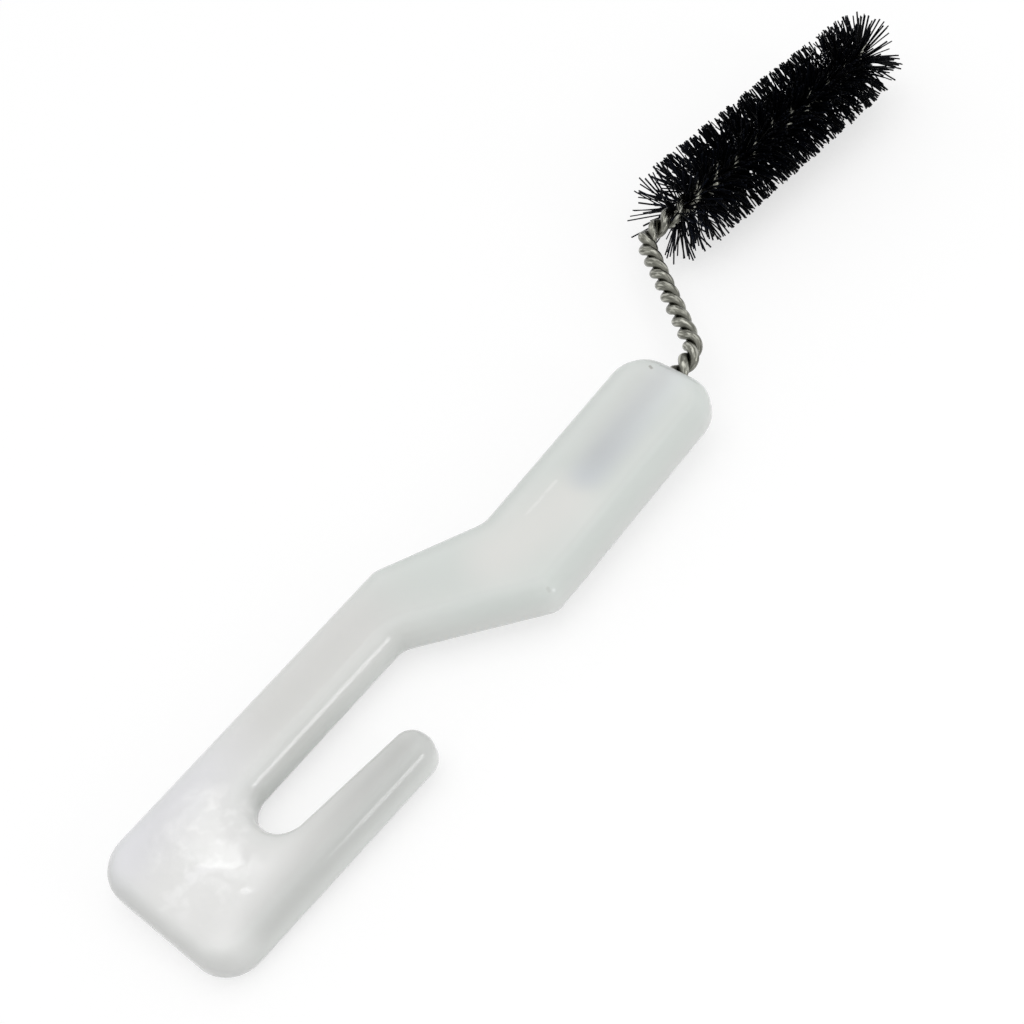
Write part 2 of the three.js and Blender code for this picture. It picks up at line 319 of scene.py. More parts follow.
def run_tree(name, mesh, tree, values):
    """A plain mesh object: what the tree makes of a mesh, with these values for its named inputs."""
    piece = new_object(name, mesh)
    modifier = piece.modifiers.new(tree.name, "NODES")
    modifier.node_group = tree
    for item in tree.interface.items_tree:
        if item.in_out == "INPUT" and item.name in values:
            modifier[item.identifier] = values[item.name]
    return flattened(piece)


def flattened(piece):
    """The piece with its modifiers made part of its mesh."""
    graph = bpy.context.evaluated_depsgraph_get()
    mesh = bpy.data.meshes.new_from_object(piece.evaluated_get(graph))
    piece.modifiers.clear()
    piece.data = mesh
    mesh.name = piece.name
    return piece


# Shared parts of the materials

BLOTCH_DETAIL = 3.0
BLOTCH_RANGE = (0.3, 0.7)


def uneven_group():
    """Soft blotches and fine grain, for plastic, steel and nylon alike."""
    name = "Uneven surface"
    if name in bpy.data.node_groups:
        return bpy.data.node_groups[name]
    inputs = {POINT: ["Vector"], FLOAT: ["Blotch Scale", "Grain Scale", "Grain Detail", "Smooth", "Rough"]}
    outputs = {FLOAT: ["Blotch", "Grain", "Roughness"]}
    tree, nodes, given, result = new_tree(name, "ShaderNodeTree", inputs, outputs)
    blotch = nodes.noise(given["Vector"], given["Blotch Scale"], BLOTCH_DETAIL)
    grain = nodes.noise(given["Vector"], given["Grain Scale"], given["Grain Detail"])
    nodes.put(result["Blotch"], nodes.ramp(blotch, *BLOTCH_RANGE))
    nodes.put(result["Grain"], grain)
    nodes.put(result["Roughness"], nodes.ramp(blotch, *BLOTCH_RANGE, given["Smooth"], given["Rough"]))
    return tree


def uneven(nodes, vector, values):
    """The outputs of the shared unevenness in one material."""
    return nodes.node("ShaderNodeGroup", {"Vector": vector, **values}, node_tree=uneven_group()).outputs


def new_material(name):
    """A material with only a Principled shader, its nodes and that shader."""
    material = bpy.data.materials.new(name)
    material.use_nodes = True
    nodes = Nodes(material.node_tree)
    return material, nodes, material.node_tree.nodes["Principled BSDF"]


def rgba(colour):
    """An opaque colour."""
    return (*colour, 1.0)


# Plastic

def soft_line(start, end, inside, outside):
    """A line, and the distances between which a mask round it fades, all given in millimetres."""
    return {
        "Start": Vector(start) * MM,
        "End": Vector(end) * MM,
        "Inside": inside * MM,
        "Outside": outside * MM,
    }


PLASTIC_GRAIN = {
    "Blotch Scale": 60.0, "Grain Scale": 260.0, "Grain Detail": 2.5, "Smooth": 0.08, "Rough": 0.14
}
PLASTIC_IOR = 1.49
MILKY_DEPTH = 7 * MM
RIPPLE_PAST_HEEL = 0.1

HEEL_FADE = (-24 * MM, -44 * MM)
COOL_FADE = (-8 * MM, 4 * MM)
GRIP_FADE = (-8 * MM, 8 * MM)
END_FADE = (-58 * MM, -52 * MM)
# Painted shade on the fillets, painted light on the lower walls and painted shade along the heel's end.
LOW_WALL_LIGHT_FADE = (3 * MM, 6.5 * MM)
FILLET_SHADE_BAND = (1.5 * MM, 3.8 * MM)
LOWER_WALL_LIGHT_BAND = (0.0, 2.5 * MM)
END_SHADE_BAND = (0.3 * MM, 2.6 * MM)
BLOTCH_STRENGTH = 0.25
FILLET_SHADE_STRENGTH = 0.5
SHAFT_FILLET_SHADE_SHARE = 0.35
END_SHADE_STRENGTH = 0.65

WARM_LINE = soft_line((28.0, -13.0, 0.0), (15.0, -10.5, 0.0), 0.5, 9.0)
# Painted shade over the finger.
FINGER_SHADE_LINE = soft_line((-49.0, -25.5, 0.0), (-14.0, -22.0, 0.0), 0.5, 8.5)
# Flow marks and painted highlight patches in the heel, broken up by the grain.
CLOUD_GLINT_LINE = soft_line((-43.5, -6.0, 0.0), (-51.0, -9.5, 0.0), 1.0, 9.5)
CLOUD_GLINT_BREAKS = (0.48, 0.62)
CLOUD_GLINT_GLOW = 0.3
CLOUD_GLINT_STRENGTH = 0.85

SHADOW_SHIFT = Vector((-3.0, -1.6, 0.0)) * MM
SHADOW_REACH = 18 * MM
SHADOW_INSIDE = 0.4 * MM
SHADOW_OUTSIDE = 5 * MM
SHADOW_STRENGTH = 0.45

# A painted highlight streak on the grip, broken up by the grain.
HIGHLIGHT_STREAK_LINE = soft_line((30.7, -9.1, 0.0), (22.0, -9.3, 0.0), 0.05, 0.5)
HIGHLIGHT_STREAK_BREAKS = (0.46, 0.62)
HIGHLIGHT_STREAK_STRENGTH = 0.35
GATE_LINE = soft_line((56.6, -7.95, 7.4), (56.8, -7.45, 7.4), 0.1, 0.35)
NICK_LINE = soft_line((14.5, -21.1, 6.6), (14.7, -20.7, 6.8), 0.1, 0.45)
NICK_STRENGTH = 0.28
SPECK_STRENGTH = 0.65
SPECK_COLOUR = (0.3, 0.28, 0.25)


def capsule_group():
    """A soft mask round a line between two points."""
    name = "Capsule mask"
    if name in bpy.data.node_groups:
        return bpy.data.node_groups[name]
    inputs = {POINT: ["Vector", "Start", "End"], FLOAT: ["Inside", "Outside"]}
    tree, nodes, given, result = new_tree(name, "ShaderNodeTree", inputs, {FLOAT: ["Mask"]})
    line = nodes.vector("SUBTRACT", given["End"], given["Start"])
    reach = nodes.vector("SUBTRACT", given["Vector"], given["Start"])
    along = nodes.vector("DOT_PRODUCT", reach, line)
    whole = nodes.vector("DOT_PRODUCT", line, line)
    part = nodes.node("ShaderNodeClamp", {"Value": nodes.over(along, whole)}).outputs[0]
    nearest = nodes.scaled(line, part)
    distance = nodes.vector("LENGTH", nodes.vector("SUBTRACT", reach, nearest))
    nodes.put(result["Mask"], nodes.ramp(distance, given["Inside"], given["Outside"], 1.0, 0.0))
    return tree


def marked(nodes, vector, line):
    """The soft mask round a line."""
    return nodes.node("ShaderNodeGroup", {"Vector": vector, **line}, node_tree=capsule_group()).outputs[0]


def plastic_tones(nodes, handle, surface, place, flat):
    """The plastic's colour from the heel to the grip, with painted shade on the finger, on the fillets and
    along the heel's end, painted light on the lower walls, and flow marks with painted highlight patches in
    the heel.
    """
    x, y, z = nodes.node("ShaderNodeSeparateXYZ", {0: place}).outputs
    edge = nodes.attribute("edge")
    heel = nodes.ramp(x, *HEEL_FADE)
    cool = nodes.times(heel, nodes.ramp(y, *COOL_FADE))
    # Painted shade on the fillets, weaker along the shaft.
    side = nodes.ramp(edge, *FILLET_SHADE_BAND, FILLET_SHADE_STRENGTH, 0.0)
    side = nodes.times(side, nodes.ramp(x, *GRIP_FADE, SHAFT_FILLET_SHADE_SHARE, 1.0))
    # Painted light on the lower walls, away from the heel's end, then painted shade along the heel's end.
    low = nodes.times(nodes.ramp(z, *LOW_WALL_LIGHT_FADE, 1.0, 0.0), nodes.ramp(x, *END_FADE))
    lower_wall_light = nodes.times(nodes.ramp(edge, *LOWER_WALL_LIGHT_BAND, 1.0, 0.0), low)
    end = nodes.ramp(edge, *END_SHADE_BAND, END_SHADE_STRENGTH, 0.0)
    end = nodes.times(end, nodes.ramp(x, *END_FADE, 1.0, 0.0))
    # Flow marks with painted highlight patches in the heel.
    cloud_glints = nodes.ramp(surface["Grain"], *CLOUD_GLINT_BREAKS, CLOUD_GLINT_GLOW, 1.0)
    cloud_glints = nodes.times(marked(nodes, flat, CLOUD_GLINT_LINE), cloud_glints)
    return nodes.layered(rgba(handle.colour), (
        (heel, rgba(handle.heel_tone_and_sheen_colour)),
        (cool, rgba(handle.cool_colour)),
        (nodes.ramp(x, *GRIP_FADE), rgba(handle.grip_colour)),
        (marked(nodes, flat, WARM_LINE), rgba(handle.warm_colour)),
        (marked(nodes, flat, FINGER_SHADE_LINE), rgba(handle.finger_shade_colour)),
        (nodes.times(surface["Blotch"], BLOTCH_STRENGTH), rgba(handle.colour)),
        (side, rgba(handle.fillet_shade_colour)),
        (lower_wall_light, rgba(handle.lower_wall_light_colour)),
        (end, rgba(handle.finger_shade_colour)),
        (nodes.times(cloud_glints, CLOUD_GLINT_STRENGTH), rgba(handle.cloud_and_glint_colour)),
    ))


def wire_shadow(nodes, handle, wire, x, flat):
    """Mask and colour of the wire's painted shadow in the grip, painted paler where the wire comes out."""
    inner_end, outer_end = embedded_line(handle, wire)
    line = {
        "Start": inner_end + SHADOW_SHIFT,
        "End": outer_end + SHADOW_SHIFT,
        "Inside": SHADOW_INSIDE,
        "Outside": SHADOW_OUTSIDE,
    }
    outward = nodes.ramp(x, inner_end.x, inner_end.x + SHADOW_REACH)
    colour = nodes.blend(outward, rgba(handle.shadow_colour), rgba(handle.lit_mouth_colour))
    return nodes.times(marked(nodes, flat, line), SHADOW_STRENGTH), colour


def plastic_material(handle, wire):
    """Milky plastic: glossy, with flow marks and painted highlight patches in the heel, and the wire in the
    grip as a faint painted shadow.
    """
    material, nodes, shader = new_material("milky_plastic")
    place = nodes.node("ShaderNodeTexCoord").outputs["Object"]
    x = nodes.node("ShaderNodeSeparateXYZ", {0: place}).outputs[0]
    flat = nodes.vector("MULTIPLY", place, (1.0, 1.0, 0.0))
    surface = uneven(nodes, place, PLASTIC_GRAIN)
    flow = surface["Grain"]

    # Painted highlight streak on the grip.
    highlight_streak = nodes.times(marked(nodes, flat, HIGHLIGHT_STREAK_LINE), nodes.ramp(flow, *HIGHLIGHT_STREAK_BREAKS))
    nick = nodes.times(marked(nodes, place, NICK_LINE), NICK_STRENGTH)
    specks = nodes.math("MAXIMUM", marked(nodes, place, GATE_LINE), nick)
    colour = nodes.layered(plastic_tones(nodes, handle, surface, place, flat), (
        wire_shadow(nodes, handle, wire, x, flat),
        (nodes.times(highlight_streak, HIGHLIGHT_STREAK_STRENGTH), rgba(handle.cloud_and_glint_colour)),
        (nodes.times(specks, SPECK_STRENGTH), rgba(SPECK_COLOUR)),
    ))
    nodes.put(shader.inputs["Base Color"], colour)
    nodes.put(shader.inputs["Roughness"], surface["Roughness"])

    ripples = nodes.times(flow, nodes.ramp(x, *HEEL_FADE, RIPPLE_PAST_HEEL, 1.0))
    height = nodes.minus(ripples, specks)
    bump = nodes.node("ShaderNodeBump", {"Strength": 1.0, "Distance": handle.ripple, "Height": height})
    nodes.put(shader.inputs["Normal"], bump.outputs[0])
    shader.inputs["IOR"].default_value = PLASTIC_IOR
    shader.inputs["Subsurface Weight"].default_value = 1.0
    shader.inputs["Subsurface Radius"].default_value = (1.0, 1.0, 1.0)
    shader.inputs["Subsurface Scale"].default_value = MILKY_DEPTH
    return material


# Steel

STEEL_GRAIN = {
    "Blotch Scale": 2.4, "Grain Scale": 2.2, "Grain Detail": 2.0, "Smooth": 0.20, "Rough": 0.262
}
STREAK_BREAKS = (0.45, 0.62)
STREAK_STRENGTH = 0.5
STREAK_DEPTH = 0.05 * MM
RIDGE_FADE = (0.0, 0.45)


def steel_material(wire):
    """Drawn steel wire: streaks along the strand, polish and painted sheen on its ridges, grime and painted
    shade in the grooves.
    """
    material, nodes, shader = new_material("drawn_steel")
    surface = uneven(nodes, nodes.attribute("grain", "Vector"), STEEL_GRAIN)
    streaks = surface["Grain"]
    groove = nodes.attribute("groove")
    # Polish with painted sheen on the ridges, grime with painted shade in the grooves.
    polish_and_sheen = nodes.times(nodes.ramp(streaks, *STREAK_BREAKS), nodes.ramp(groove, *RIDGE_FADE, 1.0, 0.0))
    colour = nodes.layered(rgba(wire.dull_colour), (
        (surface["Blotch"], rgba(wire.colour)),
        (polish_and_sheen, rgba(wire.polish_and_sheen_colour)),
        (groove, rgba(wire.groove_grime_and_shade_colour)),
    ))
    nodes.put(shader.inputs["Base Color"], colour)
    nodes.put(shader.inputs["Roughness"], surface["Roughness"])
    depth = {"Strength": STREAK_STRENGTH, "Distance": STREAK_DEPTH, "Height": streaks}
    nodes.put(shader.inputs["Normal"], nodes.node("ShaderNodeBump", depth).outputs[0])
    shader.inputs["Metallic"].default_value = 1.0
    return material


# Nylon

NYLON_GRAIN = {
    "Blotch Scale": 400.0, "Grain Scale": 3000.0, "Grain Detail": 1.0, "Smooth": 0.32, "Rough": 0.5
}
NYLON_SPECULAR = 0.06
PALE_FADE = (0.1, 1.0)
PALE_AT_ROOT = 0.3
# Painted light: near the stem, where the filaments stand loose, they are painted paler.
LOOSE_LIGHT_FADE = (84 * MM, 104 * MM)
PALE_WHERE_DENSE = 0.4


def nylon_material(bristles):
    """Black nylon with a faint blue cast, paler on some filaments and towards the tips, and painted light
    near the stem where the filaments are loose.
    """
    material, nodes, shader = new_material("black_nylon")
    place = nodes.node("ShaderNodeTexCoord").outputs["Object"]
    x = nodes.node("ShaderNodeSeparateXYZ", {0: place}).outputs[0]
    outward = nodes.ramp(nodes.attribute("along"), *PALE_FADE, PALE_AT_ROOT, 1.0)
    pale = nodes.times(outward, nodes.attribute("tone"))
    # Painted light on the loose filaments near the stem.
    pale = nodes.times(pale, nodes.ramp(x, *LOOSE_LIGHT_FADE, 1.0, PALE_WHERE_DENSE))
    colour = nodes.blend(pale, rgba(bristles.colour), rgba(bristles.tip_colour))
    nodes.put(shader.inputs["Base Color"], colour)
    nodes.put(shader.inputs["Roughness"], uneven(nodes, place, NYLON_GRAIN)["Roughness"])
    shader.inputs["Specular IOR Level"].default_value = NYLON_SPECULAR
    return material


# Handle

ARC_STEP = math.radians(6)
SIDE_STEP = 1.1 * MM
GRID_STEP = 1.3 * MM
GRID_CLEARANCE = 0.6 * GRID_STEP
EDGE_STEPS = 9
WALL_STEPS = 3
END_ROUND_SHARE = 0.48
EDGE_ROUND_SHARE = 0.9
CROWN_LENGTH = 7 * MM
WAVE_LENGTH = 16 * MM
BORE_SIDES = 48
BORE_CLEARANCE = 0.06 * MM
SHARP_ANGLE = math.radians(40)
INSIDE_ONLY = 1
SAME_POINT = 1e-9


class Outline:
    """The handle's outline as arcs joined by straight sides, which can be drawn at any inset."""

    def __init__(self, corners):
        self.arcs = []
        for i, (at, radius) in enumerate(corners):
            back = (corners[i - 1][0] - at).normalized()
            ahead = (corners[(i + 1) % len(corners)][0] - at).normalized()
            half = back.angle(ahead) / 2
            centre = at + (back + ahead).normalized() * (radius / math.sin(half))
            start = at + back * (radius / math.tan(half)) - centre
            convex = back.x * ahead.y - back.y * ahead.x < 0
            sweep = (math.pi - 2 * half) * (1 if convex else -1)
            self.arcs.append((centre, radius, math.atan2(start.y, start.x), sweep))
        self.counts = self.count_points()

    def arc_point(self, arc, part, inset):
        centre, radius, start, sweep = arc
        inside = radius - inset if sweep > 0 else radius + inset
        angle = start + part * sweep
        return centre + Vector((math.cos(angle), math.sin(angle))) * inside

    def count_points(self):
        """Steps on each arc, and on the straight side that follows it."""
        counts = []
        for i, arc in enumerate(self.arcs):
            after = self.arcs[(i + 1) % len(self.arcs)]
            side = self.arc_point(after, 0.0, 0.0) - self.arc_point(arc, 1.0, 0.0)
            on_arc = max(2, round(abs(arc[3]) / ARC_STEP))
            on_side = max(1, round(side.length / SIDE_STEP))
            counts.append((on_arc, on_side))
        return counts

    def ring(self, inset):
        """The outline's points at a distance inside it, as many for any inset."""
        points = []
        for i, (arc, (on_arc, on_side)) in enumerate(zip(self.arcs, self.counts)):
            after = self.arcs[(i + 1) % len(self.arcs)]
            points += [self.arc_point(arc, step / on_arc, inset) for step in range(on_arc)]
            start = self.arc_point(arc, 1.0, inset)
            end = self.arc_point(after, 0.0, inset)
            points += [start.lerp(end, step / on_side) for step in range(on_side)]
        return points


def handle_outline(handle):
    """The outline of the handle, and the radius of its long edges, which the finger's tip limits."""
    end = handle.length / 2
    side = handle.shaft_width / 2
    slot_end = handle.heel_length - end
    finger_tip = slot_end + handle.finger_length
    grip_side = handle.grip_width / 2 / math.cos(handle.grip_angle)

    def grip_centre(x):
        return -handle.grip_offset + math.tan(handle.grip_angle) * (x - end)

    def finger_inside(x):
        return -side - handle.slot_width - math.tan(handle.slot_flare) * (x - slot_end)

    def finger_outside(x):
        at_slot_end = -side - handle.slot_width - handle.finger_width
        return at_slot_end - math.tan(handle.finger_flare) * (x - slot_end)

    def corner(x, y, radius):
        return Vector((x, y)), radius

    finger_round = END_ROUND_SHARE * (finger_inside(finger_tip) - finger_outside(finger_tip))
    slot_round = END_ROUND_SHARE * handle.slot_width
    right_end, left_end = handle.jog_right_end, handle.jog_left_end
    corners = [
        corner(-end, finger_outside(-end), handle.heel_corner),
        corner(finger_tip, finger_outside(finger_tip), finger_round),
        corner(finger_tip, finger_inside(finger_tip), finger_round),
        corner(slot_end, finger_inside(slot_end), slot_round),
        corner(slot_end, -side, slot_round),
        corner(handle.jog_right_start, -side, handle.jog_round),
        corner(right_end, grip_centre(right_end) - grip_side, handle.jog_round),
        corner(end, grip_centre(end) - grip_side, handle.grip_corner),
        corner(end, grip_centre(end) + grip_side, handle.grip_corner),
        corner(left_end, grip_centre(left_end) + grip_side, handle.jog_round),
        corner(handle.jog_left_start, side, handle.jog_round),
        corner(-end, side, handle.heel_corner),
    ]
    return Outline(corners), min(handle.edge_round, EDGE_ROUND_SHARE * finger_round)


def lift(handle, point, inset):
    """How far the face lies off its plane: slow waves in the middle, and a fall towards its edge."""
    fall = max(1.0 - inset / CROWN_LENGTH, 0.0) ** 2
    wave = noise.noise(Vector((point.x, point.y, 0.0)) / WAVE_LENGTH)
    return handle.wave * wave * (1.0 - fall) - handle.crown * fall


def distances(points, ring):
    """How far each point lies from the line of a ring, in plan."""
    start = np.array([(p.x, p.y) for p in ring])
    along = np.roll(start, -1, axis=0) - start
    found = np.full(len(points), np.inf)
    places = np.array([(p.x, p.y) for p in points])
    for corner, side in zip(start, along):
        part = np.clip(((places - corner) @ side) / (side @ side), 0.0, 1.0)
        gap = places - corner - part[:, None] * side
        found = np.minimum(found, np.hypot(gap[:, 0], gap[:, 1]))
    return found


def face_points(ring):
    """Points of an even grid inside a ring, clear of its line."""
    line = np.array([(p.x, p.y) for p in ring])
    after = np.roll(line, -1, axis=0)
    found = []
    for x in np.arange(line[:, 0].min(), line[:, 0].max(), GRID_STEP):
        for y in np.arange(line[:, 1].min(), line[:, 1].max(), GRID_STEP):
            spans = (line[:, 1] > y) != (after[:, 1] > y)
            rise = (after[:, 0] - line[:, 0]) * (y - line[:, 1])
            run = np.where(spans, after[:, 1] - line[:, 1], 1.0)
            if np.count_nonzero(spans & (x < line[:, 0] + rise / run)) % 2:
                found.append(Vector((x, y)))
    gaps = distances(found, ring)
    return [point for point, gap in zip(found, gaps) if gap > GRID_CLEARANCE]


def plain_mesh(name, mesh):
    """A mesh in the file, with what was drawn in an edit mesh."""
    made = bpy.data.meshes.new(name)
    mesh.to_mesh(made)
    mesh.free()
    return made


def add_face(mesh, ring, corners, heights, upward):
    """Closes one face of the handle over its innermost ring, at the height that a function gives."""
    points = [Vector((p.x, p.y)) for p in ring] + face_points(ring)
    border = list(range(len(ring)))
    flat, _, faces, origins, _, _ = delaunay_2d_cdt(points, [], [border], INSIDE_ONLY, SAME_POINT)
    made = []
    for place, origin, height in zip(flat, origins, heights(flat)):
        known = [i for i in origin if i < len(ring)]
        made.append(corners[known[0]] if known else mesh.verts.new((place.x, place.y, height)))
    for face in faces:
        order = face if upward else reversed(face)
        mesh.faces.new([made[i] for i in order])


def handle_mesh(handle):
    """The moulding without its bore: a crowned face, rounded edges, a wall and a flat back."""
    outline, edge_round = handle_outline(handle)
    outside = outline.ring(0.0)
    inner = outline.ring(edge_round)
    quarter = [math.pi / 2 * step / EDGE_STEPS for step in range(EDGE_STEPS + 1)]
    rows = [(edge_round * (1 - math.sin(a)), edge_round * (1 - math.cos(a))) for a in quarter]
    wall = handle.thickness - 2 * edge_round
    lower = [(0.0, edge_round + wall * (1 - step / WALL_STEPS)) for step in range(1, WALL_STEPS)]
    lower += reversed(rows)

    mesh = bmesh.new()
    loops = []
    for inset, drop in rows:
        ring = outline.ring(inset)
        top = handle.thickness - drop
        loops.append([mesh.verts.new((p.x, p.y, top + lift(handle, p, inset))) for p in ring])
    for inset, height in lower:
        loops.append([mesh.verts.new((p.x, p.y, height)) for p in outline.ring(inset)])
    for upper, below in zip(loops, loops[1:]):
        for i, corner in enumerate(upper):
            beside = (i + 1) % len(upper)
            mesh.faces.new((corner, below[i], below[beside], upper[beside]))

    def face_heights(points):
        gaps = distances(points, outside)
        return [handle.thickness + lift(handle, point, gap) for point, gap in zip(points, gaps)]

    def back_heights(points):
        return [0.0] * len(points)

    add_face(mesh, inner, loops[0], face_heights, True)
    add_face(mesh, inner, loops[-1], back_heights, False)
    return plain_mesh("handle_body", mesh)


def store_edge(mesh, ring):
    """Keeps each corner's distance from the handle's outline, for the material."""
    edge = mesh.attributes.new("edge", "FLOAT", "POINT")
    edge.data.foreach_set("value", distances([vertex.co for vertex in mesh.vertices], ring))


def bore_cutter(handle, wire):
    """A cylinder along the stretch of wire that is set in the grip."""
    inner_end, outer_end = embedded_line(handle, wire)
    middle = outer_end + UP * (handle.thickness / 2)
    depth = wire.embedded + wire.strand
    mesh = bmesh.new()
    bmesh.ops.create_cone(
        mesh,
        cap_ends=True,
        segments=BORE_SIDES,
        radius1=wire.strand + BORE_CLEARANCE,
        radius2=wire.strand + BORE_CLEARANCE,
        depth=2 * depth,
    )
    lay = (outer_end - inner_end).to_track_quat("Z", "Y")
    bmesh.ops.rotate(mesh, verts=mesh.verts, matrix=lay.to_matrix())
    bmesh.ops.translate(mesh, verts=mesh.verts, vec=middle)
    return new_object("bore", plain_mesh("bore", mesh))


def make_handle(handle, wire):
    """The moulded handle with the bore that holds the wire."""
    piece = new_object("handle_body", handle_mesh(handle))
    cutter = bore_cutter(handle, wire)
    cut = piece.modifiers.new("bore", "BOOLEAN")
    cut.operation = "DIFFERENCE"
    cut.solver = "EXACT"
    cut.object = cutter
    flattened(piece)
    bpy.data.objects.remove(cutter)
    store_edge(piece.data, handle_outline(handle)[0].ring(0.0))
    piece.data.materials.clear()
    piece.data.materials.append(plastic_material(handle, wire))
    piece.data.shade_smooth()
    piece.data.set_sharp_from_angle(angle=SHARP_ANGLE)
    return piece


# Twisted wire

ROUTE_STEP = 0.2 * MM
STRAND_SIDES = 20
GRAIN_STRETCH = 550.0
GROOVE_FADE = (0.85, -0.35)


def embedded_line(handle, wire):
    """Inner and outer end of the wire that is set in the grip, in plan."""
    outer_end = Vector((handle.length / 2, -wire.offset, 0.0))
    along = Vector((math.cos(wire.angle), math.sin(wire.angle), 0.0))
    return outer_end - along * wire.embedded, outer_end


class Route:
    """The middle of the twist: straight stretches joined by two bends."""

    def __init__(self, handle, wire, bristles):
        lower_turn = wire.stem_angle - wire.angle
        upper_turn = wire.stem_angle - wire.brush_angle
        lower_cut = wire.lower_bend * math.tan(lower_turn / 2)
        upper_cut = wire.upper_bend * math.tan(upper_turn / 2)
        last = wire.bare - upper_cut + bristles.length + wire.bare_tip
        self.stretches = [
            (wire.embedded + wire.stub - lower_cut, 0.0),
            (wire.lower_bend * lower_turn, 1 / wire.lower_bend),
            (wire.stem - lower_cut - upper_cut, 0.0),
            (wire.upper_bend * upper_turn, -1 / wire.upper_bend),
            (last, 0.0),
        ]
        self.length = sum(length for length, _ in self.stretches)
        self.brush_end = self.length - wire.bare_tip
        self.brush_start = self.brush_end - bristles.length
        self.start = embedded_line(handle, wire)[0] + UP * (handle.thickness / 2)
        self.start_heading = wire.angle

    def place(self, distance):
        """The point at a distance along the route, and the heading there."""
        point = self.start.copy()
        heading = self.start_heading
        left = distance
        for length, curvature in self.stretches:
            run = min(left, length)
            bend = run * curvature
            chord = 2 * math.sin(bend / 2) / curvature if curvature else run
            middle = heading + bend / 2
            point += Vector((math.cos(middle), math.sin(middle), 0.0)) * chord
            heading += bend
            left -= run
        return point, heading

    def mesh(self):
        """The route as a line of short edges."""
        steps = math.ceil(self.length / ROUTE_STEP)
        points = [self.place(self.length * step / steps)[0] for step in range(steps + 1)]
        edges = [(step, step + 1) for step in range(steps)]
        made = bpy.data.meshes.new("wire_route")
        made.from_pydata(points, edges, [])
        return made


def twist_at_brush(route, wire):
    """Angle of the first strand round the route where the filaments begin."""
    return wire.twist_start - 2 * math.pi * route.brush_start / wire.bare_pitch


def circle(nodes, sides, radius):
    """A ring of short straight sides."""
    return nodes.node("GeometryNodeCurvePrimitiveCircle", {"Resolution": sides, "Radius": radius}).outputs[0]


def swept(nodes, curve, profile):
    """A closed tube along a curve."""
    inputs = {"Curve": curve, "Profile Curve": profile, "Fill Caps": True}
    return nodes.node("GeometryNodeCurveToMesh", inputs).outputs[0]


def moved(nodes, geometry, offset):
    """The geometry with each point moved by an offset of its own."""
    return nodes.node("GeometryNodeSetPosition", {"Geometry": geometry, "Offset": offset}).outputs[0]


def captured(nodes, geometry, fields):
    """Keeps values on a geometry. The outputs are the geometry, and then each value by its name."""
    made = nodes.node("GeometryNodeCaptureAttribute", {0: geometry})
    for name, (kind, _) in fields.items():
        made.capture_items.new(kind, name)
    for name, (_, value) in fields.items():
        nodes.put(made.inputs[name], value)
    return made.outputs


def stored(nodes, geometry, name, data_type, value, domain="POINT"):
    """The geometry with a named attribute for its material."""
    inputs = {"Geometry": geometry, "Name": name, "Value": value}
    made = nodes.node("GeometryNodeStoreNamedAttribute", inputs, data_type=data_type, domain=domain)
    return made.outputs[0]


def finish_tree(nodes, geometry, material, socket):
    """The end of each tree: real geometry, smooth, with its material."""
    real = nodes.node("GeometryNodeRealizeInstances", {0: geometry}).outputs[0]
    smooth = nodes.node("GeometryNodeSetShadeSmooth", {"Geometry": real}).outputs[0]
    coated = nodes.node("GeometryNodeSetMaterial", {"Geometry": smooth, "Material": material})
    nodes.put(socket, coated.outputs[0])


def strand_offset(nodes, given, distance):
    """The direction from the route to the middle of a strand, and how far that is."""
    start = given["Brush Start"]
    bare_turns = nodes.over(nodes.math("MINIMUM", distance, start), given["Bare Pitch"])
    past = nodes.math("MAXIMUM", nodes.minus(distance, start), 0.0)
    turns = nodes.plus(bare_turns, nodes.over(past, given["Brush Pitch"]))
    angle = nodes.minus(given["Phase"], nodes.times(turns, 2 * math.pi))
    along = nodes.node("GeometryNodeInputTangent").outputs[0]
    left = nodes.vector("CROSS_PRODUCT", tuple(UP), along)
    touching = nodes.times(given["Diameter"], 0.5)
    parted = nodes.plus(touching, nodes.times(given["Parting"], 0.5))
    reach = nodes.ramp(distance, nodes.minus(start, given["Spread"]), start, touching, parted)
    return nodes.turned(left, tuple(UP), angle), reach


